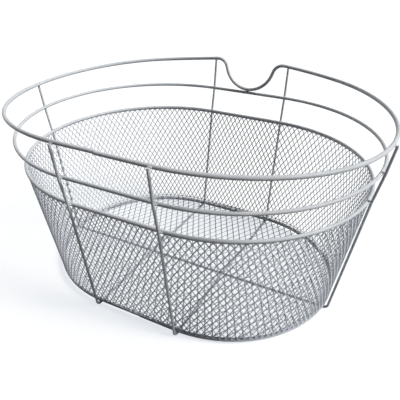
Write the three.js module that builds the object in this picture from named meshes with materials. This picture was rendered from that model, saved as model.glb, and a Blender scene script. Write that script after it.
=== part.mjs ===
// Oval wire basket with a mesh wall and floor, open at the top.
// Millimetres. +X runs along the basket, +Y points to its notched back, +Z is up.
// The origin is on the ground, under the middle of the basket.
import * as THREE from 'three';

// Wire diameters
const RIM_WIRE = 4.0;
const HOOP_WIRE = 3.6;
const STAY_WIRE = 2.8;

// Every hoop has two straight sides and two round ends. The lower hoops step in from the rim.
const SIDE_HALF_LENGTH = 46;
const RIM_END_RADIUS = 154;
const MIDDLE_STEP_IN = 4;
const MESH_TOP_STEP_IN = 10;
const BOTTOM_STEP_IN = 31.5;

// Heights of the hoop centrelines above the ground
const RIM_HEIGHT = 202;
const MIDDLE_HEIGHT = 168;
const MESH_TOP_HEIGHT = 138;
const RIM_END_DIP = 6.5;

// Dip in the back of the rim, and the rise of the rim towards its shoulders
const NOTCH_BEND_RADIUS = 32;
const NOTCH_SHOULDER_RADIUS = 12.5;
const NOTCH_FLANK_SLANT = 19;
const NOTCH_SHOULDER_RISE = 3.8;
const NOTCH_RISE_RUN = 70;

// Stays: bent wires that cradle the basket
const STAY_HALF_SPREAD = 49;
const CROSS_STAY_Y = -12;
const STAY_BEND_RADIUS = 5;
const STAY_SOFT_BEND_RADIUS = 20;
const STAY_ARCH_TOP = 24;
const STAY_ARCH_RUN = 55;
const STAY_ARCH_BEND_RADIUS = 250;

// Mesh sheets. The wall's columns of gaps are counted along one straight side and round one end.
const MESH_THICKNESS = 1.0;
const WALL_FOOT_STEP_OUT = 1.5;
const WALL_SIDE_COLUMNS = 2;
const WALL_END_COLUMNS = 10;
const WALL_GAP_ROWS = 9;
const WALL_STRAND = 4.2;
const FLOOR_GAP_WIDTH = 16;
const FLOOR_GAP_LENGTH = 30;
const FLOOR_STRAND = 2.2;
const FLOOR_BORDER = 4;

// Clearance that is left between welded pieces
const WELD_GAP = 0.3;

// Facets: sides of a wire, steps in a round end, degrees in a step of a bend, steps across a wall gap
const WIRE_SIDES = 8;
const END_STEPS = 30;
const BEND_STEP = 15;
const WALL_GAP_STEPS = 2;

// Sizes that follow from the ones above
const MIDDLE_END_RADIUS = RIM_END_RADIUS - MIDDLE_STEP_IN;
const MESH_TOP_END_RADIUS = RIM_END_RADIUS - MESH_TOP_STEP_IN;
const BOTTOM_END_RADIUS = RIM_END_RADIUS - BOTTOM_STEP_IN;
const STAY_FLOOR_Z = STAY_WIRE / 2;
const BOTTOM_HEIGHT = STAY_WIRE + WELD_GAP + HOOP_WIRE / 2;
const MESH_BASE_Z = BOTTOM_HEIGHT + HOOP_WIRE / 2 + WELD_GAP;
const WALL_FOOT_RADIUS = BOTTOM_END_RADIUS + WALL_FOOT_STEP_OUT;
const STAY_TO_HOOP = (HOOP_WIRE + STAY_WIRE) / 2 + WELD_GAP;
const STAY_TO_RIM = (RIM_WIRE + STAY_WIRE) / 2 + WELD_GAP;
const HOOPS = {
  rim: { radius: RIM_END_RADIUS, z: RIM_HEIGHT },
  middle: { radius: MIDDLE_END_RADIUS, z: MIDDLE_HEIGHT },
  meshTop: { radius: MESH_TOP_END_RADIUS, z: MESH_TOP_HEIGHT },
  bottom: { radius: BOTTOM_END_RADIUS, z: BOTTOM_HEIGHT },
};

// Silver powder coat on the wires, and the same coat on the mesh, which looks a little duller
const wireCoat = { color: 0xa9abb2, roughness: 0.42, metalness: 0.55 };
const meshCoat = { color: 0x9b9da6, roughness: 0.5, metalness: 0.5 };

const basket = new THREE.Group();

function addPiece(name, geometry, coat) {
  const piece = new THREE.Mesh(geometry, new THREE.MeshStandardMaterial(coat));
  piece.name = name;
  basket.add(piece);
}

function closedGeometry(points, faces) {
  const geometry = new THREE.BufferGeometry();
  geometry.setAttribute('position', new THREE.Float32BufferAttribute(points, 3));
  geometry.setIndex(faces);
  geometry.computeVertexNormals();
  return geometry;
}

// One round end of an oval: sign 1 gives the +X end, from front to back, and sign -1 the -X end,
// from back to front.
function ovalEnd(radius, sign) {
  return Array.from({ length: END_STEPS + 1 }, (_, step) => {
    const angle = Math.PI * (step / END_STEPS - 0.5);
    return new THREE.Vector3(
      sign * (SIDE_HALF_LENGTH + radius * Math.cos(angle)),
      sign * radius * Math.sin(angle),
      0,
    );
  });
}

function oval(radius, z) {
  const loop = [...ovalEnd(radius, 1), ...ovalEnd(radius, -1)];
  loop.forEach((point) => point.setZ(z));
  return loop;
}

// Distance from the middle of the basket out to a hoop, at a given distance along it or across it
function hoopDepthAt(x, radius) {
  const pastSide = Math.max(Math.abs(x) - SIDE_HALF_LENGTH, 0);
  return Math.sqrt(radius ** 2 - pastSide ** 2);
}

function hoopLengthAt(y, radius) {
  return SIDE_HALF_LENGTH + Math.sqrt(radius ** 2 - y ** 2);
}

// A polyline in a plane with its inner corners rounded, one radius for each inner corner
function roundedPath(corners, radii) {
  const path = [corners[0]];
  radii.forEach((radius, index) => {
    const corner = corners[index + 1];
    const back = corners[index].clone().sub(corner).normalize();
    const ahead = corners[index + 2].clone().sub(corner).normalize();
    const halfAngle = Math.acos(THREE.MathUtils.clamp(back.dot(ahead), -1, 1)) / 2;
    const bisector = back.clone().add(ahead).normalize();
    const centre = corner.clone().addScaledVector(bisector, radius / Math.sin(halfAngle));
    const start = corner.clone().addScaledVector(back, radius / Math.tan(halfAngle)).sub(centre);
    const turn = Math.PI - 2 * halfAngle;
    const side = Math.sign(-back.cross(ahead));
    const steps = Math.max(2, Math.ceil(THREE.MathUtils.radToDeg(turn) / BEND_STEP));
    for (let step = 0; step <= steps; step += 1) {
      const spoke = start.clone().rotateAround(new THREE.Vector2(), side * turn * step / steps);
      path.push(spoke.add(centre));
    }
  });
  path.push(corners[corners.length - 1]);
  return path;
}

// A wire along a centreline. The hint at each point says which way one of its flat sides looks.
function wire(centreline, hints, diameter, isClosed) {
  const count = centreline.length;
  const cornerRadius = diameter / 2 / Math.cos(Math.PI / WIRE_SIDES);
  const points = [];
  centreline.forEach((centre, index) => {
    const before = centreline[isClosed ? (index + count - 1) % count : Math.max(index - 1, 0)];
    const after = centreline[isClosed ? (index + 1) % count : Math.min(index + 1, count - 1)];
    const inward = centre.clone().sub(before).normalize();
    const onward = after.clone().sub(centre).normalize();
    const tangent = inward.add(onward).normalize();
    const up = hints[index].clone().cross(tangent).normalize();
    const out = tangent.clone().cross(up);
    for (let side = 0; side < WIRE_SIDES; side += 1) {
      const angle = (side + 0.5) * 2 * Math.PI / WIRE_SIDES;
      const corner = centre.clone()
        .addScaledVector(out, cornerRadius * Math.cos(angle))
        .addScaledVector(up, cornerRadius * Math.sin(angle));
      points.push(...corner.toArray());
    }
  });
  const faces = [];
  const spans = isClosed ? count : count - 1;
  for (let span = 0; span < spans; span += 1) {
    const near = span * WIRE_SIDES;
    const far = ((span + 1) % count) * WIRE_SIDES;
    for (let side = 0; side < WIRE_SIDES; side += 1) {
      const next = (side + 1) % WIRE_SIDES;
      faces.push(near + side, far + side, far + next);
      faces.push(near + side, far + next, near + next);
    }
  }
  if (!isClosed) {
    const last = (count - 1) * WIRE_SIDES;
    for (let side = 1; side < WIRE_SIDES - 1; side += 1) {
      faces.push(0, side, side + 1);
      faces.push(last, last + side + 1, last + side);
    }
  }
  return closedGeometry(points, faces);
}

// The way out of the basket, level, at each point of a loop that runs anticlockwise
function outwardHints(loop) {
  return loop.map((_, index) => {
    const before = loop[(index + loop.length - 1) % loop.length];
    const after = loop[(index + 1) % loop.length];
    return new THREE.Vector3(after.y - before.y, before.x - after.x, 0).normalize();
  });
}

function plainHoop({ radius, z }) {
  const loop = oval(radius, z);
  return wire(loop, outwardHints(loop), HOOP_WIRE, true);
}

// The rim bows down a little towards its ends, and its back rises towards the shoulders of the dip.
function rimHeightAt(x, y) {
  const pastSide = Math.max(Math.abs(x) - SIDE_HALF_LENGTH, 0);
  const dip = RIM_END_DIP * (pastSide / RIM_END_RADIUS) ** 2;
  const rise = y > 0 ? NOTCH_SHOULDER_RISE * Math.max(1 - pastSide / NOTCH_RISE_RUN, 0) ** 2 : 0;
  return RIM_HEIGHT - dip + rise;
}

// In the middle of its back side the rim dips in a V with a round bottom, far enough to sit on the
// middle hoop, and leans in with the dip to stay above it.
function topRim() {
  const shoulderZ = rimHeightAt(0, RIM_END_RADIUS);
  const bottomZ = MIDDLE_HEIGHT + (HOOP_WIRE + RIM_WIRE) / 2 + WELD_GAP;
  const slant = THREE.MathUtils.degToRad(NOTCH_FLANK_SLANT);
  const apexZ = bottomZ - NOTCH_BEND_RADIUS * (1 / Math.sin(slant) - 1);
  const mouthHalfWidth = (shoulderZ - apexZ) * Math.tan(slant);
  const profile = roundedPath([
    new THREE.Vector2(SIDE_HALF_LENGTH, shoulderZ),
    new THREE.Vector2(mouthHalfWidth, shoulderZ),
    new THREE.Vector2(0, apexZ),
    new THREE.Vector2(-mouthHalfWidth, shoulderZ),
    new THREE.Vector2(-SIDE_HALF_LENGTH, shoulderZ),
  ], [NOTCH_SHOULDER_RADIUS, NOTCH_BEND_RADIUS, NOTCH_SHOULDER_RADIUS]);
  const lean = MIDDLE_STEP_IN / (shoulderZ - bottomZ);
  const notch = profile.slice(1, -1).map(({ x, y: z }) => (
    new THREE.Vector3(x, RIM_END_RADIUS - lean * (shoulderZ - z), z)));
  const clearOfNotch = (point) => point.y < 0 || Math.abs(point.x) > notch[0].x;
  const ends = [1, -1].map((sign) => ovalEnd(RIM_END_RADIUS, sign).filter(clearOfNotch));
  ends.flat().forEach((point) => point.setZ(rimHeightAt(point.x, point.y)));
  const backward = new THREE.Vector3(0, 1, 0);
  const hints = outwardHints(ends.flat());
  hints.splice(ends[0].length, 0, ...notch.map(() => backward));
  return wire([...ends[0], ...notch, ...ends[1]], hints, RIM_WIRE, true);
}

// One leg of a stay in its own plane, from its top end beside the rim down to its knuckle on the
// ground. It passes outside the hoops, stands off the bottom hoop and turns under it.
// The reaches are the distances from the middle of the basket out to each hoop.
function stayLeg(reach, rimZ) {
  const lean = (high, low) => (reach[high] - reach[low]) / (HOOPS[high].z - HOOPS[low].z);
  const leans = [lean('rim', 'middle'), lean('middle', 'meshTop'), lean('meshTop', 'bottom')];
  const slantAllowance = Math.hypot(1, Math.max(...leans.map(Math.abs)));
  const hoopSeat = STAY_TO_HOOP * slantAllowance;
  const top = new THREE.Vector2(reach.rim + STAY_TO_RIM * slantAllowance, rimZ);
  const middle = new THREE.Vector2(reach.middle + hoopSeat, MIDDLE_HEIGHT);
  const meshTop = new THREE.Vector2(reach.meshTop + hoopSeat, MESH_TOP_HEIGHT);
  const bottom = new THREE.Vector2(reach.bottom + STAY_BEND_RADIUS + WELD_GAP, BOTTOM_HEIGHT);
  const slope = (meshTop.x - bottom.x) / (meshTop.y - bottom.y);
  const knuckle = new THREE.Vector2(bottom.x - slope * (bottom.y - STAY_FLOOR_Z), STAY_FLOOR_Z);
  return [top, middle, meshTop, knuckle];
}

const LEG_RADII = [STAY_SOFT_BEND_RADIUS, STAY_SOFT_BEND_RADIUS, STAY_BEND_RADIUS];

// A stay of two legs with a floor run between their knuckles
function stayPath(leg, oppositeLeg, floorCorners, floorRadii) {
  const farLeg = oppositeLeg.map((corner) => new THREE.Vector2(-corner.x, corner.y)).reverse();
  const radii = [...LEG_RADII, ...floorRadii, ...LEG_RADII.slice().reverse()];
  return roundedPath([...leg, ...floorCorners, ...farLeg], radii);
}

function stayReach(reachOf) {
  return Object.fromEntries(Object.entries(HOOPS).map(([name, { radius }]) => [name, reachOf(radius)]));
}

// The floor run of a front-to-back stay arches over the cross stay and lies on the ground elsewhere
function floorArch() {
  const archZ = STAY_FLOOR_Z + STAY_WIRE + WELD_GAP;
  const half = STAY_ARCH_TOP / 2;
  return [
    new THREE.Vector2(CROSS_STAY_Y + half + STAY_ARCH_RUN, STAY_FLOOR_Z),
    new THREE.Vector2(CROSS_STAY_Y + half, archZ),
    new THREE.Vector2(CROSS_STAY_Y - half, archZ),
    new THREE.Vector2(CROSS_STAY_Y - half - STAY_ARCH_RUN, STAY_FLOOR_Z),
  ];
}

function frontBackStay(x) {
  const reach = stayReach((radius) => hoopDepthAt(x, radius));
  const backLeg = stayLeg(reach, rimHeightAt(x, reach.rim));
  const frontLeg = stayLeg(reach, rimHeightAt(x, -reach.rim));
  const arch = floorArch();
  const path = stayPath(backLeg, frontLeg, arch, arch.map(() => STAY_ARCH_BEND_RADIUS));
  const centreline = path.map(({ x: y, y: z }) => new THREE.Vector3(x, y, z));
  return wire(centreline, centreline.map(() => new THREE.Vector3(1, 0, 0)), STAY_WIRE, false);
}

function crossStay() {
  const reach = stayReach((radius) => hoopLengthAt(CROSS_STAY_Y, radius));
  const leg = stayLeg(reach, rimHeightAt(reach.rim, CROSS_STAY_Y));
  const path = stayPath(leg, leg, [], []);
  const centreline = path.map(({ x, y: z }) => new THREE.Vector3(x, CROSS_STAY_Y, z));
  return wire(centreline, centreline.map(() => new THREE.Vector3(0, 1, 0)), STAY_WIRE, false);
}

// A point of an oval by its column, counted round from the left end of the front side
function ovalAt(column, radius) {
  const halfTurn = WALL_SIDE_COLUMNS + WALL_END_COLUMNS;
  const sign = column < halfTurn ? 1 : -1;
  const pastSide = (column % halfTurn) - WALL_SIDE_COLUMNS;
  if (pastSide < 0) {
    const along = SIDE_HALF_LENGTH * (1 + 2 * pastSide / WALL_SIDE_COLUMNS);
    return new THREE.Vector2(sign * along, -sign * radius);
  }
  const angle = Math.PI * (pastSide / WALL_END_COLUMNS - 0.5);
  const along = SIDE_HALF_LENGTH + radius * Math.cos(angle);
  return new THREE.Vector2(sign * along, sign * radius * Math.sin(angle));
}

// The outline of one cell of the wall, as columns and rows. Its lower and upper edges have steps, to
// follow the round ends. At the two borders of the wall they are the steps of the hoops.
function wallCell(column, row) {
  const edgeAt = (edgeRow) => {
    const isBorder = edgeRow % WALL_GAP_ROWS === 0;
    const steps = isBorder ? Math.round(END_STEPS / WALL_END_COLUMNS) : WALL_GAP_STEPS;
    return Array.from({ length: steps + 1 }, (_, step) => [column + step / steps, edgeRow]);
  };
  return [...edgeAt(row), ...edgeAt(row + 1).reverse()];
}

// The mesh wall: a thin sheet with a grid of low gaps, from the outer shoulder of the bottom hoop to
// the underside of the mesh-top hoop
function wallMesh() {
  const height = MESH_TOP_HEIGHT - HOOP_WIRE / 2 - WELD_GAP - MESH_BASE_Z;
  const columns = 2 * (WALL_SIDE_COLUMNS + WALL_END_COLUMNS);
  const columnWidth = Math.PI * (WALL_FOOT_RADIUS + MESH_TOP_END_RADIUS) / 2 / WALL_END_COLUMNS;
  const gapScale = [1 - WALL_STRAND / columnWidth, 1 - WALL_STRAND * WALL_GAP_ROWS / height];
  const points = [];
  const faces = [];
  const known = new Map();
  const pointAt = ([column, row], side) => {
    const turned = column % columns;
    const key = [turned.toFixed(4), row.toFixed(4), side].join(' ');
    if (!known.has(key)) {
      const rise = row / WALL_GAP_ROWS;
      const middleRadius = THREE.MathUtils.lerp(WALL_FOOT_RADIUS, MESH_TOP_END_RADIUS, rise);
      const { x, y } = ovalAt(turned, middleRadius + side * MESH_THICKNESS / 2);
      known.set(key, points.length / 3);
      points.push(x, y, MESH_BASE_Z + height * rise);
    }
    return known.get(key);
  };
  const addQuad = (a, b, c, d) => faces.push(a, b, c, a, c, d);
  const addCell = (column, row) => {
    const outline = wallCell(column, row);
    const middle = [column + 0.5, row + 0.5];
    const gap = outline.map((corner) => corner.map((value, axis) => (
      middle[axis] + gapScale[axis] * (value - middle[axis]))));
    const [outer, inner, outerGap, innerGap] = [[outline, 1], [outline, -1], [gap, 1], [gap, -1]]
      .map(([corners, side]) => corners.map((corner) => pointAt(corner, side)));
    outline.forEach(([, nearRow], near) => {
      const far = (near + 1) % outline.length;
      addQuad(outer[near], outer[far], outerGap[far], outerGap[near]);
      addQuad(innerGap[near], innerGap[far], inner[far], inner[near]);
      addQuad(outerGap[near], outerGap[far], innerGap[far], innerGap[near]);
      if (nearRow === outline[far][1] && nearRow % WALL_GAP_ROWS === 0) {
        addQuad(outer[far], outer[near], inner[near], inner[far]);
      }
    });
  };
  for (let column = 0; column < columns; column += 1) {
    for (let row = 0; row < WALL_GAP_ROWS; row += 1) {
      addCell(column, row);
    }
  }
  return closedGeometry(points, faces);
}

// The mesh floor: a flat net of long diamonds that lies on the bottom hoop, inside the wall
function floorMesh() {
  const edgeRadius = WALL_FOOT_RADIUS - MESH_THICKNESS / 2 - WELD_GAP;
  const sheet = new THREE.Shape(oval(edgeRadius, 0));
  const gapScale = 1 - FLOOR_STRAND / (FLOOR_GAP_WIDTH * FLOOR_GAP_LENGTH
    / Math.hypot(FLOOR_GAP_WIDTH, FLOOR_GAP_LENGTH));
  const halfWidth = FLOOR_GAP_WIDTH / 2;
  const halfLength = FLOOR_GAP_LENGTH / 2;
  const fits = (x, y) => {
    const pastSide = Math.max(Math.abs(x) - SIDE_HALF_LENGTH, 0);
    return Math.hypot(pastSide, y) < edgeRadius - FLOOR_BORDER;
  };
  const columns = Math.ceil((SIDE_HALF_LENGTH + edgeRadius) / halfWidth);
  const rows = Math.ceil(edgeRadius / halfLength);
  for (let column = -columns; column <= columns; column += 1) {
    for (let row = -rows; row <= rows; row += 1) {
      const x = column * halfWidth;
      const y = row * halfLength;
      const corners = [[1, 0], [0, 1], [-1, 0], [0, -1]].map(([alongX, alongY]) => (
        new THREE.Vector2(x + alongX * halfWidth * gapScale, y + alongY * halfLength * gapScale)));
      if ((column + row) % 2 === 0 && corners.every((corner) => fits(corner.x, corner.y))) {
        sheet.holes.push(new THREE.Path(corners));
      }
    }
  }
  const geometry = new THREE.ExtrudeGeometry(sheet, { depth: MESH_THICKNESS, bevelEnabled: false });
  return geometry.translate(0, 0, MESH_BASE_Z);
}

addPiece('top_rim', topRim(), wireCoat);
addPiece('middle_hoop', plainHoop(HOOPS.middle), wireCoat);
addPiece('mesh_top_hoop', plainHoop(HOOPS.meshTop), wireCoat);
addPiece('bottom_hoop', plainHoop(HOOPS.bottom), wireCoat);
addPiece('left_stay', frontBackStay(-STAY_HALF_SPREAD), wireCoat);
addPiece('right_stay', frontBackStay(STAY_HALF_SPREAD), wireCoat);
addPiece('cross_stay', crossStay(), wireCoat);
addPiece('wall_mesh', wallMesh(), meshCoat);
addPiece('floor_mesh', floorMesh(), meshCoat);

export default basket;
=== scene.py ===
# %% [markdown]
# # An oval wire basket
# The real basket is welded from round steel wire and diamond mesh, then powder coated silver.
# Four hoops give it its shape, three bent stays cradle it, and two mesh sheets close its wall and
# its floor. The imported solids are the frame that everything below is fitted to, so they are loaded
# first, and their boxes give most of the sizes that the wires need.

# %% Load the frame
from math import cos, degrees, hypot, pi, radians, sin, sqrt, tan

import bpy
from mathutils import Matrix, Vector


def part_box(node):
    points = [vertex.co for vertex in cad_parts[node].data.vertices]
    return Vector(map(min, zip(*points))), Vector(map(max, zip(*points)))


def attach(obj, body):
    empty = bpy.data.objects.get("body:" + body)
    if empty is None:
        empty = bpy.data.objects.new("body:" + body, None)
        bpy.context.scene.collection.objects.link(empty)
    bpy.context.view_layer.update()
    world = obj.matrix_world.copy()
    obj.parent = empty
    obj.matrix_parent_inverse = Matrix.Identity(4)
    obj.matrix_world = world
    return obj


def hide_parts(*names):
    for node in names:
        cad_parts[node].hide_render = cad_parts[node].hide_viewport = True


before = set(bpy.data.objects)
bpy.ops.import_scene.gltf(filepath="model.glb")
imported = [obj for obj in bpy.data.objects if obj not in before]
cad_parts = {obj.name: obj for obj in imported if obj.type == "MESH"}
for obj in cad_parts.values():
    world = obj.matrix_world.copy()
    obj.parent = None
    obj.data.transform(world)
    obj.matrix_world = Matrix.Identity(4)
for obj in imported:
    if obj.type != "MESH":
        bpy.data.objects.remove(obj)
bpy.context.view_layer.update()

print("pieces in the frame:", sorted(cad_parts))

# %% [markdown]
# ## Sizes
# A hoop is an oval: two straight sides joined by two half circles. The box of a hoop tells all of
# it. Its height is the wire's diameter, half its depth less half the wire is the radius of the
# round ends, and what its length has over its depth is the straight side. The rim is not level: its
# ends dip, and its back rises to the two shoulders of the notch, which are its highest points. Its
# box can't tell its wire from that rise, so both are written down.

# %% Read the hoops
MM = 0.001
RIM_WIRE = 4.0 * MM
NOTCH_SHOULDER_RISE = 3.8 * MM


def read_hoop(node):
    low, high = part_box(node)
    wire = high.z - low.z
    return {"wire": wire, "radius": high.y - wire / 2, "z": (high.z + low.z) / 2}


hoops = {name: read_hoop(name) for name in ("middle_hoop", "mesh_top_hoop", "bottom_hoop")}
low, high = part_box("top_rim")
hoops["top_rim"] = {"wire": RIM_WIRE, "radius": high.y - RIM_WIRE / 2,
                    "z": high.z - RIM_WIRE / 2 - NOTCH_SHOULDER_RISE}
SIDE_HALF_LENGTH = high.x - high.y
for name, hoop in hoops.items():
    print(name, {key: round(value / MM, 2) for key, value in hoop.items()})

# %% [markdown]
# ## How a wire is bent
# A wire former feeds straight wire and bends it round a pin, over and over. The same two moves
# exist in edit mode: extrude feeds a vertex straight on, and spin swings it round a centre. A row
# of corners with a bend radius for each is therefore enough to describe any wire. The path is then
# made a curve, which gets a round section, and is turned back into a mesh. Sweeping a circle along
# a drawn curve would also work, but spinning gives true arcs with even steps.

# %% Feed and bend
BEND_STEP = radians(4)
FEWEST_BEND_STEPS = 3
MERGE_REACH = 0.003 * MM


def start_wire(point):
    bpy.ops.object.select_all(action="DESELECT")
    bpy.ops.mesh.primitive_plane_add(size=MM)
    bpy.ops.object.mode_set(mode="EDIT")
    bpy.ops.mesh.select_all(action="SELECT")
    bpy.ops.mesh.merge(type="CENTER")
    bpy.ops.transform.translate(value=point)


def feed(step):
    if step.length > MERGE_REACH:
        bpy.ops.mesh.extrude_region_move(TRANSFORM_OT_translate={"value": step})


def bend_round(corner, before, after, radius, place):
    back = (before - corner).normalized()
    ahead = (after - corner).normalized()
    half_angle = back.angle(ahead) / 2
    feed(corner + back * (radius / tan(half_angle)) - place)
    turn = pi - 2 * half_angle
    centre = corner + (back + ahead).normalized() * (radius / sin(half_angle))
    steps = max(FEWEST_BEND_STEPS, round(turn / BEND_STEP))
    # With no window, spin turns the other way, so its axis is turned round
    bpy.ops.mesh.spin(steps=steps, angle=turn, center=centre, axis=back.cross(ahead).normalized())
    return corner + ahead * (radius / tan(half_angle))


print("wire is bent in steps of about", round(degrees(BEND_STEP)), "degrees")

# %% Follow a row of corners
RING_MERGE_REACH = 0.03 * MM


def bend_path(name, corners, radii, is_ring=False):
    corners = [Vector(corner) for corner in corners]
    start_wire(corners[0])
    place = corners[0]
    for index, radius in enumerate(radii, start=1):
        place = bend_round(corners[index], corners[index - 1], corners[index + 1], radius, place)
    feed(corners[-1] - place)
    if is_ring:
        feed(corners[0] - corners[-1])
        bpy.ops.mesh.select_all(action="SELECT")
        bpy.ops.mesh.remove_doubles(threshold=RING_MERGE_REACH)
    bpy.ops.object.mode_set(mode="OBJECT")
    path = bpy.context.object
    path.name = name
    return path


print("the ends of a ring merge within", RING_MERGE_REACH / MM, "mm")

# %% Give the path a round section
SECTION_RESOLUTION = 4
SMOOTH_ANGLE = radians(50)


def select_only(piece):
    bpy.ops.object.select_all(action="DESELECT")
    piece.select_set(True)
    bpy.context.view_layer.objects.active = piece


def thicken(path, diameter):
    select_only(path)
    bpy.ops.object.convert(target="CURVE")
    curve = bpy.context.object.data
    curve.bevel_depth = diameter / 2
    curve.bevel_resolution = SECTION_RESOLUTION
    curve.use_fill_caps = True
    bpy.ops.object.convert(target="MESH")
    bpy.ops.object.mode_set(mode="EDIT")
    bpy.ops.mesh.select_all(action="SELECT")
    bpy.ops.mesh.remove_doubles(threshold=MERGE_REACH)
    bpy.ops.mesh.normals_make_consistent(inside=False)
    bpy.ops.object.mode_set(mode="OBJECT")
    bpy.ops.object.shade_smooth_by_angle(angle=SMOOTH_ANGLE)
    return bpy.context.object


print("section resolution of a wire:", SECTION_RESOLUTION)

# %% [markdown]
# ## The three plain hoops
# An oval is a rectangle with its four corners bent so widely that each pair meets in a half circle.
# A real hoop starts as one straight wire whose two ends are butted and welded, and the ends seldom
# meet quite level. Each wire here starts and ends at its joint, and one short length closes the
# ring. The step shows at the front of the bottom hoop, so there the last end comes in a little
# high. The joints of the other two are hidden, so they are level.

# %% Bend the hoops
JOINT_X = {"middle_hoop": 20 * MM, "mesh_top_hoop": -20 * MM, "bottom_hoop": 5 * MM}
JOINT_STEP = {"middle_hoop": 0.0, "mesh_top_hoop": 0.0, "bottom_hoop": 0.7 * MM}
JOINT_RUN = 1.5 * MM
pieces = {}


def oval_corners(radius, z):
    reach = SIDE_HALF_LENGTH + radius
    return [(reach, -radius, z), (reach, radius, z), (-reach, radius, z), (-reach, -radius, z)]


def report_piece(piece):
    piece.data.calc_loop_triangles()
    size = [round(side / MM, 1) for side in piece.dimensions]
    print(piece.name, len(piece.data.loop_triangles), "triangles, box", size, "mm")


for name in ("middle_hoop", "mesh_top_hoop", "bottom_hoop"):
    radius, z = hoops[name]["radius"], hoops[name]["z"]
    first_end = (JOINT_X[name], -radius, z)
    last_end = (JOINT_X[name] - JOINT_RUN, -radius, z + JOINT_STEP[name])
    path = bend_path(name + "_wire", [first_end, *oval_corners(radius, z), last_end], [radius] * 4,
                     is_ring=True)
    pieces[name] = thicken(path, hoops[name]["wire"])
    report_piece(pieces[name])

# %% [markdown]
# ## The top rim
# The rim is the thickest wire. In the middle of its back side it dips in a rounded V, deep enough
# to rest on the middle hoop, so that the basket clears a handlebar stem. The V is three more
# corners in the back side. The rim is bent level first, and then each point of the path is moved to
# the height that the real rim has there, before the wire gets its thickness.

# %% Work out the rim
WELD_GAP = 0.3 * MM
RIM_END_DIP = 6.5 * MM
NOTCH_RISE_RUN = 70 * MM
NOTCH_BEND_RADIUS = 32 * MM
NOTCH_SLANT = radians(19)
rim = hoops["top_rim"]
middle = hoops["middle_hoop"]
notch_low_z = middle["z"] + (middle["wire"] + RIM_WIRE) / 2 + WELD_GAP - NOTCH_SHOULDER_RISE
notch_apex_z = notch_low_z - NOTCH_BEND_RADIUS * (1 / sin(NOTCH_SLANT) - 1)
notch_mouth = (rim["z"] - notch_apex_z) * tan(NOTCH_SLANT)
notch_lean = (rim["radius"] - middle["radius"]) / (rim["z"] - notch_low_z)
notch_apex_y = rim["radius"] - notch_lean * (rim["z"] - notch_apex_z)


def rim_lift(x, y):
    past_side = max(abs(x) - SIDE_HALF_LENGTH, 0)
    rise = NOTCH_SHOULDER_RISE * max(1 - past_side / NOTCH_RISE_RUN, 0) ** 2 if y > 0 else 0
    return rise - RIM_END_DIP * (past_side / rim["radius"]) ** 2


print("the notch is", round(2 * notch_mouth / MM, 1), "mm wide between its upper corners")

# %% Bend the rim
NOTCH_SHOULDER_RADIUS = 12.5 * MM
RIM_JOINT_X = -3 * MM
RIM_JOINT_STEP = 0.8 * MM
front_right, back_right, back_left, front_left = oval_corners(rim["radius"], rim["z"])
rim_corners = [
    (RIM_JOINT_X, -rim["radius"], rim["z"]), front_right, back_right,
    (notch_mouth, rim["radius"], rim["z"]),
    (0, notch_apex_y, notch_apex_z),
    (-notch_mouth, rim["radius"], rim["z"]),
    back_left, front_left, (RIM_JOINT_X - JOINT_RUN, -rim["radius"], rim["z"] + RIM_JOINT_STEP),
]
notch_radii = [NOTCH_SHOULDER_RADIUS, NOTCH_BEND_RADIUS, NOTCH_SHOULDER_RADIUS]
rim_radii = [rim["radius"]] * 2 + notch_radii + [rim["radius"]] * 2
rim_path = bend_path("top_rim_wire", rim_corners, rim_radii, is_ring=True)
for vertex in rim_path.data.vertices:
    vertex.co.z += rim_lift(vertex.co.x, vertex.co.y)
pieces["top_rim"] = thicken(rim_path, RIM_WIRE)
report_piece(pieces["top_rim"])

# %% [markdown]
# ## The three stays
# Each stay is one thin wire: down from beside the rim, past the hoops on their outside, round a
# tight knuckle, under the floor and up the other side. The two that run from front to back pass
# over the one that runs along the basket, so their floor runs rise a little in the middle. Each leg
# is worked out in its own flat plane, as a distance from the middle and a height.

# %% Work out the legs
low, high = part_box("left_stay")
STAY_WIRE = high.x - low.x
STAY_X = (high.x + low.x) / 2
low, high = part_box("cross_stay")
CROSS_Y = (high.y + low.y) / 2
KNUCKLE_RADIUS = 5 * MM
FLOOR_Z = STAY_WIRE / 2
STAY_TO_HOOP = (middle["wire"] + STAY_WIRE) / 2 + WELD_GAP
STAY_TO_RIM = (RIM_WIRE + STAY_WIRE) / 2 + WELD_GAP


def stay_leg(reach_of, rim_z):
    reach = {name: reach_of(hoop["radius"]) for name, hoop in hoops.items()}
    order = ["top_rim", "middle_hoop", "mesh_top_hoop", "bottom_hoop"]
    leans = [(reach[upper] - reach[lower]) / (hoops[upper]["z"] - hoops[lower]["z"])
             for upper, lower in zip(order, order[1:])]
    slant_allowance = hypot(1, max(abs(lean) for lean in leans))
    seat = STAY_TO_HOOP * slant_allowance
    top = Vector((reach["top_rim"] + STAY_TO_RIM * slant_allowance, rim_z))
    middle_bend = Vector((reach["middle_hoop"] + seat, middle["z"]))
    mesh_bend = Vector((reach["mesh_top_hoop"] + seat, hoops["mesh_top_hoop"]["z"]))
    bottom = Vector((reach["bottom_hoop"] + KNUCKLE_RADIUS + WELD_GAP, hoops["bottom_hoop"]["z"]))
    slope = (mesh_bend.x - bottom.x) / (mesh_bend.y - bottom.y)
    knuckle = Vector((bottom.x - slope * (bottom.y - FLOOR_Z), FLOOR_Z))
    return [top, middle_bend, mesh_bend, knuckle]


def depth_at(x):
    return lambda radius: sqrt(radius ** 2 - max(abs(x) - SIDE_HALF_LENGTH, 0) ** 2)


def length_at(y):
    return lambda radius: SIDE_HALF_LENGTH + sqrt(radius ** 2 - y ** 2)


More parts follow.
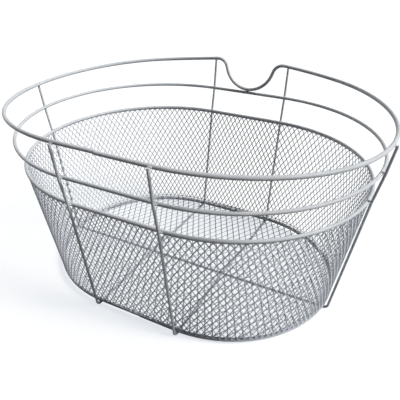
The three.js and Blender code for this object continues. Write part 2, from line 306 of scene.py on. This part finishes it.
BACK_SIDE, FRONT_SIDE = 1, -1
back_leg = stay_leg(depth_at(STAY_X), rim["z"] + rim_lift(STAY_X, BACK_SIDE))
front_leg = stay_leg(depth_at(STAY_X), rim["z"] + rim_lift(STAY_X, FRONT_SIDE))
end_reach = length_at(CROSS_Y)(rim["radius"])
end_leg = stay_leg(length_at(CROSS_Y), rim["z"] + rim_lift(end_reach, CROSS_Y))
tops = [round(leg[0].y / MM, 1) for leg in (back_leg, front_leg, end_leg)]
print("the back, front and end legs start", tops, "mm up")

# %% Bend the stays
SOFT_BEND_RADIUS = 20 * MM
LEG_RADII = [SOFT_BEND_RADIUS, SOFT_BEND_RADIUS, KNUCKLE_RADIUS]
ARCH_BEND_RADIUS = 250 * MM
ARCH_HALF_TOP = 12 * MM
ARCH_RUN = 55 * MM
arch_z = FLOOR_Z + STAY_WIRE + WELD_GAP
arch = [Vector((CROSS_Y + half, z)) for half, z in (
    (ARCH_HALF_TOP + ARCH_RUN, FLOOR_Z), (ARCH_HALF_TOP, arch_z),
    (-ARCH_HALF_TOP, arch_z), (-ARCH_HALF_TOP - ARCH_RUN, FLOOR_Z))]


def mirrored(leg):
    return [Vector((-point.x, point.y)) for point in reversed(leg)]


for name, x in (("left_stay", STAY_X), ("right_stay", -STAY_X)):
    corners = [(x, y, z) for y, z in back_leg + arch + mirrored(front_leg)]
    radii = LEG_RADII + [ARCH_BEND_RADIUS] * len(arch) + LEG_RADII[::-1]
    pieces[name] = thicken(bend_path(name + "_wire", corners, radii), STAY_WIRE)
    report_piece(pieces[name])
corners = [(x, CROSS_Y, z) for x, z in end_leg + mirrored(end_leg)]
pieces["cross_stay"] = thicken(
    bend_path("cross_stay_wire", corners, LEG_RADII + LEG_RADII[::-1]), STAY_WIRE)
report_piece(pieces["cross_stay"])

# %% [markdown]
# ## The welds
# Where two wires cross, a spot weld squeezes out a little molten steel, which sets as a bead along
# the crossing. One bead is a ball squeezed long, and every weld is a copy of it, turned so that its
# long side follows the hoop. The beads are joined to the stay or rim that they hold, as the real
# ones are.

# %% Press one bead
BEAD_HALF = Vector((3.0, 1.2, 1.3)) * MM


def press_bead():
    bpy.ops.object.select_all(action="DESELECT")
    bpy.ops.mesh.primitive_ico_sphere_add(subdivisions=2, radius=1)
    bpy.ops.object.mode_set(mode="EDIT")
    bpy.ops.mesh.select_all(action="SELECT")
    bpy.ops.transform.resize(value=BEAD_HALF)
    bpy.ops.object.mode_set(mode="OBJECT")
    bpy.ops.object.shade_smooth()
    return bpy.context.object


bead = press_bead()
report_piece(bead)

# %% Set the beads
RIM_BEAD_GROWTH = 0.85
CROSSING_BEAD_GROWTH = 0.8
NOTCH_BEAD_GROWTH = 0.7


def weld(name, spots, is_across):
    beads = []
    for place, growth in spots:
        select_only(bead)
        bpy.ops.object.duplicate(linked=False)
        copy = bpy.context.object
        copy.matrix_world = (Matrix.Translation(place) @ Matrix.Rotation(pi / 2 * is_across, 4, "Z")
                             @ Matrix.Scale(growth, 4))
        beads.append(copy)
    select_only(pieces[name])
    for copy in beads:
        copy.select_set(True)
    bpy.ops.object.join()
    report_piece(pieces[name])


def leg_spots(leg):
    top, middle_bend, mesh_bend, knuckle = leg
    inset = STAY_TO_HOOP / 2
    under_hoop = Vector((knuckle.x - KNUCKLE_RADIUS, STAY_WIRE))
    return [(Vector((top.x - STAY_TO_RIM / 2, top.y)), RIM_BEAD_GROWTH),
            (Vector((middle_bend.x - inset, middle_bend.y)), 1.0),
            (Vector((mesh_bend.x - inset, mesh_bend.y)), 1.0), (under_hoop, 1.0)]


for name, x in (("left_stay", STAY_X), ("right_stay", -STAY_X)):
    spots = [(Vector((x, spot.x, spot.y)), growth) for spot, growth in leg_spots(back_leg)]
    spots += [(Vector((x, -spot.x, spot.y)), growth) for spot, growth in leg_spots(front_leg)]
    spots.append((Vector((x, CROSS_Y, STAY_WIRE)), CROSSING_BEAD_GROWTH))
    weld(name, spots, is_across=False)
weld("cross_stay", [(Vector((side * spot.x, CROSS_Y, spot.y)), growth)
                    for side in (1, -1) for spot, growth in leg_spots(end_leg)], is_across=True)
notch_foot = Vector((0, middle["radius"], notch_low_z + NOTCH_SHOULDER_RISE - RIM_WIRE / 2))
weld("top_rim", [(notch_foot, NOTCH_BEAD_GROWTH)], is_across=False)
bpy.data.objects.remove(bead)

# %% [markdown]
# ## The wall mesh
# The mesh is a net of long diamonds. A grid makes one quickly: poking each cell puts a point in its
# middle, and dissolving the old grid lines leaves only the slanting strands. The flat net is then
# wrapped round the oval, its two ends are merged, and the Wireframe modifier turns each edge into a
# strand. Drawing every strand as its own wire would give thousands of loose ends instead.

# %% Net of diamonds
def flat_net(name, columns, rows):
    bpy.ops.object.select_all(action="DESELECT")
    bpy.ops.mesh.primitive_grid_add(x_subdivisions=columns, y_subdivisions=rows, size=1)
    net = bpy.context.object
    net.name = name
    bpy.ops.object.mode_set(mode="EDIT")
    bpy.ops.mesh.select_all(action="SELECT")
    bpy.ops.mesh.mark_seam(clear=False)
    bpy.ops.mesh.poke()
    bpy.ops.object.mode_set(mode="OBJECT")
    return net


WALL_SIDE_COLUMNS = 15
WALL_END_COLUMNS = 65
WALL_ROWS = 12
wall_columns = 2 * (WALL_SIDE_COLUMNS + WALL_END_COLUMNS)
wall = flat_net("wall_mesh_net", wall_columns, WALL_ROWS)
print("flat net of", wall_columns, "columns and", WALL_ROWS, "rows")

# %% [markdown]
# Wrapping keeps the columns upright on the straight sides and fans them out round the ends, as the
# sheet leans out towards the top. At its foot the cut sheet ends in a selvedge: a strand that runs
# all round, with the cut stubs below it welded to the bottom hoop. Extruding the lowest edges
# straight down makes both at once.

# %% Wrap the wall
STUB = 2.4 * MM
SHEET_HALF = 0.5 * MM
low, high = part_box("wall_mesh")
WALL_LOW_Z, WALL_HIGH_Z = low.z + STUB, high.z
WALL_LOW_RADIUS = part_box("floor_mesh")[1].y + WELD_GAP + SHEET_HALF
WALL_HIGH_RADIUS = high.y - SHEET_HALF


def oval_point(column, radius):
    half_turn = WALL_SIDE_COLUMNS + WALL_END_COLUMNS
    sign = 1 if column < half_turn else -1
    column -= 0 if sign == 1 else half_turn
    if column < WALL_SIDE_COLUMNS:
        along = -SIDE_HALF_LENGTH + 2 * SIDE_HALF_LENGTH * column / WALL_SIDE_COLUMNS
        return sign * along, -sign * radius
    angle = pi * ((column - WALL_SIDE_COLUMNS) / WALL_END_COLUMNS - 0.5)
    return sign * (SIDE_HALF_LENGTH + radius * cos(angle)), sign * radius * sin(angle)


def drop_grid_lines(net):
    select_only(net)
    bpy.ops.object.mode_set(mode="EDIT")
    bpy.ops.mesh.select_mode(type="EDGE")
    bpy.ops.mesh.select_all(action="DESELECT")
    bpy.ops.mesh.select_non_manifold(use_wire=False, use_boundary=True, use_multi_face=False,
                                     use_non_contiguous=False, use_verts=False)
    bpy.ops.mesh.mark_seam(clear=True)
    bpy.ops.mesh.select_all(action="DESELECT")
    bpy.ops.object.mode_set(mode="OBJECT")
    for edge in net.data.edges:
        edge.select = edge.use_seam
    bpy.ops.object.mode_set(mode="EDIT")
    bpy.ops.mesh.dissolve_edges(use_verts=False, use_face_split=False)
    bpy.ops.object.mode_set(mode="OBJECT")


# The flat net is one unit wide and high, with its middle at the origin
for vertex in wall.data.vertices:
    rise = vertex.co.y + 0.5
    radius = WALL_LOW_RADIUS + (WALL_HIGH_RADIUS - WALL_LOW_RADIUS) * rise
    x, y = oval_point((vertex.co.x + 0.5) * wall_columns % wall_columns, radius)
    vertex.co = (x, y, WALL_LOW_Z + (WALL_HIGH_Z - WALL_LOW_Z) * rise)
select_only(wall)
bpy.ops.object.mode_set(mode="EDIT")
bpy.ops.mesh.select_all(action="SELECT")
bpy.ops.mesh.remove_doubles(threshold=WELD_GAP)
bpy.ops.mesh.normals_make_consistent(inside=False)
bpy.ops.object.mode_set(mode="OBJECT")
drop_grid_lines(wall)
print("diamonds in the wall:", len(wall.data.polygons))

# %% Add the stubs and thicken the strands
WALL_STRAND = 1.05 * MM


def make_strands(net, thickness):
    select_only(net)
    strands = net.modifiers.new("strands", "WIREFRAME")
    strands.thickness = thickness
    strands.use_even_offset = True
    strands.use_boundary = True
    strands.use_replace = True
    bpy.ops.object.modifier_apply(modifier=strands.name)
    bpy.ops.object.shade_smooth()


select_only(wall)
for edge in wall.data.edges:
    edge.select = all(wall.data.vertices[end].co.z < WALL_LOW_Z + WELD_GAP for end in edge.vertices)
bpy.ops.object.mode_set(mode="EDIT")
bpy.ops.mesh.extrude_region_move(TRANSFORM_OT_translate={"value": (0, 0, -STUB)})
bpy.ops.mesh.select_all(action="SELECT")
bpy.ops.mesh.normals_make_consistent(inside=False)
bpy.ops.object.mode_set(mode="OBJECT")
make_strands(wall, WALL_STRAND)
pieces["wall_mesh"] = wall
report_piece(wall)

# %% [markdown]
# ## The floor mesh
# The floor is cut from a coarser net that lies flat. Bisect cuts a mesh along a plane and throws
# one side away, so a row of cuts that touch the oval trims the net to it, as shears would. Its
# strands were rolled flat after the sheet was stretched, so they are drawn lower than wide.

# %% Cut the floor
FLOOR_CELL = (8.6 * MM, 16.5 * MM)
FLOOR_CUT_STEP = radians(6)
low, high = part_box("floor_mesh")
FLOOR_RADIUS = high.y
floor_columns = 2 * round((high.x + FLOOR_CELL[0]) / FLOOR_CELL[0])
floor_rows = 2 * round((high.y + FLOOR_CELL[1]) / FLOOR_CELL[1])
net = flat_net("floor_mesh_net", floor_columns, floor_rows)
for vertex in net.data.vertices:
    vertex.co = (vertex.co.x * floor_columns * FLOOR_CELL[0],
                 vertex.co.y * floor_rows * FLOOR_CELL[1], (low.z + high.z) / 2)
drop_grid_lines(net)
select_only(net)
bpy.ops.object.mode_set(mode="EDIT")
cuts = round(2 * pi / FLOOR_CUT_STEP)
for cut in range(cuts):
    angle = 2 * pi * (cut + 0.5) / cuts
    outward = Vector((cos(angle), sin(angle), 0))
    side = SIDE_HALF_LENGTH if outward.x > 0 else -SIDE_HALF_LENGTH
    bpy.ops.mesh.select_all(action="SELECT")
    bpy.ops.mesh.bisect(plane_co=Vector((side, 0, low.z)) + outward * FLOOR_RADIUS,
                        plane_no=outward, clear_outer=True)
bpy.ops.mesh.select_all(action="SELECT")
bpy.ops.mesh.remove_doubles(threshold=WELD_GAP)
bpy.ops.object.mode_set(mode="OBJECT")
print("diamonds in the floor:", len(net.data.polygons))

# %% Thicken and flatten the floor strands
FLOOR_STRAND = 1.3 * MM
FLOOR_STRAND_SQUASH = 0.55
make_strands(net, FLOOR_STRAND)
bpy.ops.object.mode_set(mode="EDIT")
bpy.ops.mesh.select_all(action="SELECT")
bpy.ops.transform.resize(value=(1, 1, FLOOR_STRAND_SQUASH))
bpy.ops.object.mode_set(mode="OBJECT")
pieces["floor_mesh"] = net
report_piece(net)

# %% [markdown]
# ## The finish
# Powder coat is a sprayed and baked polymer. In silver it holds fine metal flakes, so it is satin,
# neutral and slightly cool, with an orange-peel skin. The eye gets a soft highlight, a faint grain,
# and tones that drift a little with the thickness of the coat. The flakes lie deep in the polymer,
# so the coat is drawn as a pale satin paint. A bare metal shader would mirror the white studio on
# every side and lose the dark undersides that draw each wire. The floor mesh is drawn a darker,
# bluer grey than the wall: painted shade for the shade that falls on the floor inside the basket.

# %% Colours and nodes
def linear(hex_colour):
    channels = [int(hex_colour[start:start + 2], 16) / 255 for start in (1, 3, 5)]
    return [c / 12.92 if c <= 0.04045 else ((c + 0.055) / 1.055) ** 2.4 for c in channels] + [1]


def add_node(tree, kind, settings, links):
    node = tree.nodes.new(kind)
    for name, value in settings.items():
        if isinstance(name, int) or name in node.inputs:
            node.inputs[name].default_value = value
        else:
            setattr(node, name, value)
    for name, output in links.items():
        tree.links.new(output, node.inputs[name])
    return node


print("mid grey in linear light:", round(linear("#808080")[0], 3))

# %% Powder coat
# Real orange peel is about 0.5 mm wide, and is drawn some three times as coarse so that it shows
ORANGE_PEEL = 1.6 * MM
PEEL_DEPTH = 0.1 * MM
PEEL_STRENGTH = 0.25
PEEL_DETAIL = 2.0
PEEL_ROUGHNESS = 0.06
COAT_DRIFT = 35 * MM
DRIFT_DETAIL = 3.0
DRIFT_FROM, DRIFT_TO = 0.35, 0.65
COAT_SPECULAR = 0.15
COAT_ROUGHNESS = 0.36


def powder_coat(name, thin_hex, thick_hex):
    coat = bpy.data.materials.new(name)
    coat.use_nodes = True
    tree = coat.node_tree
    shader = tree.nodes["Principled BSDF"]
    shader.inputs["Specular IOR Level"].default_value = COAT_SPECULAR
    place = add_node(tree, "ShaderNodeTexCoord", {}, {}).outputs["Object"]
    drift = add_node(tree, "ShaderNodeTexNoise", {"Scale": 1 / COAT_DRIFT, "Detail": DRIFT_DETAIL},
                     {"Vector": place})
    ramp = add_node(tree, "ShaderNodeValToRGB", {}, {"Fac": drift.outputs["Fac"]})
    ramp.color_ramp.elements[0].position = DRIFT_FROM
    ramp.color_ramp.elements[0].color = linear(thin_hex)
    ramp.color_ramp.elements[1].position = DRIFT_TO
    ramp.color_ramp.elements[1].color = linear(thick_hex)
    tree.links.new(ramp.outputs["Color"], shader.inputs["Base Color"])
    peel = add_node(tree, "ShaderNodeTexNoise", {"Scale": 1 / ORANGE_PEEL, "Detail": PEEL_DETAIL},
                    {"Vector": place})
    rough = add_node(tree, "ShaderNodeMapRange",
                     {"To Min": COAT_ROUGHNESS - PEEL_ROUGHNESS,
                      "To Max": COAT_ROUGHNESS + PEEL_ROUGHNESS},
                     {"Value": peel.outputs["Fac"]})
    tree.links.new(rough.outputs["Result"], shader.inputs["Roughness"])
    bump = add_node(tree, "ShaderNodeBump", {"Strength": PEEL_STRENGTH, "Distance": PEEL_DEPTH},
                    {"Height": peel.outputs["Fac"]})
    tree.links.new(bump.outputs["Normal"], shader.inputs["Normal"])
    return coat


print("orange peel", ORANGE_PEEL / MM, "mm wide, tones drift over", COAT_DRIFT / MM, "mm")

# %% Coat the pieces
wire_coat = powder_coat("silver_powder_coat_on_wire", "#cbcfd2", "#d5d8db")
mesh_coats = {
    "wall_mesh": powder_coat("silver_powder_coat_on_wall_mesh", "#cfd3da", "#d8dce3"),
    # The floor mesh's darker, bluer grey is painted shade for the shade inside the basket
    "floor_mesh": powder_coat("silver_powder_coat_with_painted_shade_on_floor_mesh", "#a9aeb8", "#b5bac4"),
}
for node, piece in pieces.items():
    piece.data.materials.clear()
    piece.data.materials.append(mesh_coats.get(node, wire_coat))
    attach(piece, "root")
    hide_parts(node)
print("coated:", len(pieces), "pieces")

# %% [markdown]
# ## The stage
# The stage is a pale floor under a white world. Whoever looks at them, straight or in a mirror,
# sees white paper with a soft shadow. The light that they throw on the basket is much dimmer,
# because a wire that is lit from all sides would look flat.

# %% Paper floor
FLOOR_SIZE = 8.0
PAPER_ROUGHNESS = 0.9
PAPER_GLOW = 0.78


def white_for_lookers(tree):
    rays = add_node(tree, "ShaderNodeLightPath", {}, {}).outputs
    seen = add_node(tree, "ShaderNodeMath", {"operation": "MAXIMUM"},
                    {0: rays["Is Camera Ray"], 1: rays["Is Glossy Ray"]})
    return add_node(tree, "ShaderNodeMath", {"operation": "MAXIMUM"},
                    {0: seen.outputs[0], 1: rays["Is Transmission Ray"]}).outputs[0]


bpy.ops.object.select_all(action="DESELECT")
bpy.ops.mesh.primitive_plane_add(size=FLOOR_SIZE)
ground = bpy.context.object
ground.name = "studio_floor"
paper = bpy.data.materials.new("white_paper_floor")
paper.use_nodes = True
tree = paper.node_tree
shader = tree.nodes["Principled BSDF"]
shader.inputs["Roughness"].default_value = PAPER_ROUGHNESS
shader.inputs["Emission Color"].default_value = linear("#f2f6fd")
looks = white_for_lookers(tree)
# Sockets 6 and 7 of a colour mix are its two colours: what the basket gets, and what lookers see
tone = add_node(tree, "ShaderNodeMix",
                {"data_type": "RGBA", 6: linear("#545458"), 7: linear("#aeaba0")}, {0: looks})
tree.links.new(tone.outputs[2], shader.inputs["Base Color"])
glow = add_node(tree, "ShaderNodeMath", {"operation": "MULTIPLY", 1: PAPER_GLOW}, {0: looks})
tree.links.new(glow.outputs[0], shader.inputs["Emission Strength"])
ground.data.materials.append(paper)
print("floor of", FLOOR_SIZE, "m")

# %% White world
AMBIENT = 0.03
world = bpy.data.worlds.new("white_studio")
bpy.context.scene.world = world
world.use_nodes = True
tree = world.node_tree
looks = white_for_lookers(tree)
level = add_node(tree, "ShaderNodeMapRange", {"To Min": AMBIENT, "To Max": 1.0}, {"Value": looks})
tree.nodes["Background"].inputs["Color"].default_value = linear("#fbfcff")
tree.links.new(level.outputs["Result"], tree.nodes["Background"].inputs["Strength"])
bpy.context.scene.view_settings.view_transform = "Standard"
print("ambient light on the basket:", AMBIENT)

# %% [markdown]
# The key light comes from the right end of the basket, from above and a little from behind. Wires
# keep a light upper side and a dark lower one, and the strands that lean towards the lamp stay dark
# while those that lean away turn bright, which is what draws the mesh. A weak fill from the other
# end keeps the far side readable. Both are sun lamps with a wide disc: their light is as strong at
# the far end as at the near one, and their shadows are soft.

# %% Lamps
KEY_FROM = Vector((0.729, 0.142, 0.669))
KEY_DISC = radians(25)
KEY_STRENGTH = 3.5
FILL_FROM = Vector((-0.853, 0.150, 0.5))
FILL_DISC = radians(60)
FILL_STRENGTH = 0.6


def hang_lamp(name, place, disc, strength):
    bpy.ops.object.select_all(action="DESELECT")
    bpy.ops.object.light_add(type="SUN", location=place)
    lamp = bpy.context.object
    lamp.name = name
    lamp.data.angle = disc
    lamp.data.energy = strength
    lamp.rotation_euler = (-place).to_track_quat("-Z", "Y").to_euler()
    print(name, "of strength", strength, "from", [round(c, 2) for c in place])


hang_lamp("key_light", KEY_FROM, KEY_DISC, KEY_STRENGTH)
hang_lamp("fill_light", FILL_FROM, FILL_DISC, FILL_STRENGTH)

# %% [markdown]
# ## The camera
# The viewpoint is in front and to the right, about 33 degrees above the horizon. The lens and the
# shift follow the framing of the photograph.

# %% Camera
AZIMUTH = radians(30.07)
ELEVATION = radians(32.59)
ROLL = radians(-0.92)
DISTANCE = 572.5 * MM
TARGET = Vector((-9.9, -5.1, 47.5)) * MM
LENS = 42.77
SENSOR_WIDTH = 36
SHIFT = (0.0427, 0.0641)

backward = Vector((sin(AZIMUTH) * cos(ELEVATION), -cos(AZIMUTH) * cos(ELEVATION), sin(ELEVATION)))
rightward = Vector((cos(AZIMUTH), sin(AZIMUTH), 0))
upward = backward.cross(rightward)
turned_right = rightward * cos(ROLL) + upward * sin(ROLL)
turned_up = upward * cos(ROLL) - rightward * sin(ROLL)
bpy.ops.object.camera_add()
camera = bpy.context.object
camera.name = "photo_camera"
camera.data.lens = LENS
camera.data.sensor_width = SENSOR_WIDTH
camera.data.sensor_fit = "HORIZONTAL"
camera.data.shift_x, camera.data.shift_y = SHIFT
turn = Matrix((turned_right, turned_up, backward)).transposed().to_4x4()
camera.matrix_world = Matrix.Translation(TARGET + backward * DISTANCE) @ turn
bpy.context.scene.camera = camera
print("camera at", [round(c, 3) for c in camera.matrix_world.translation])
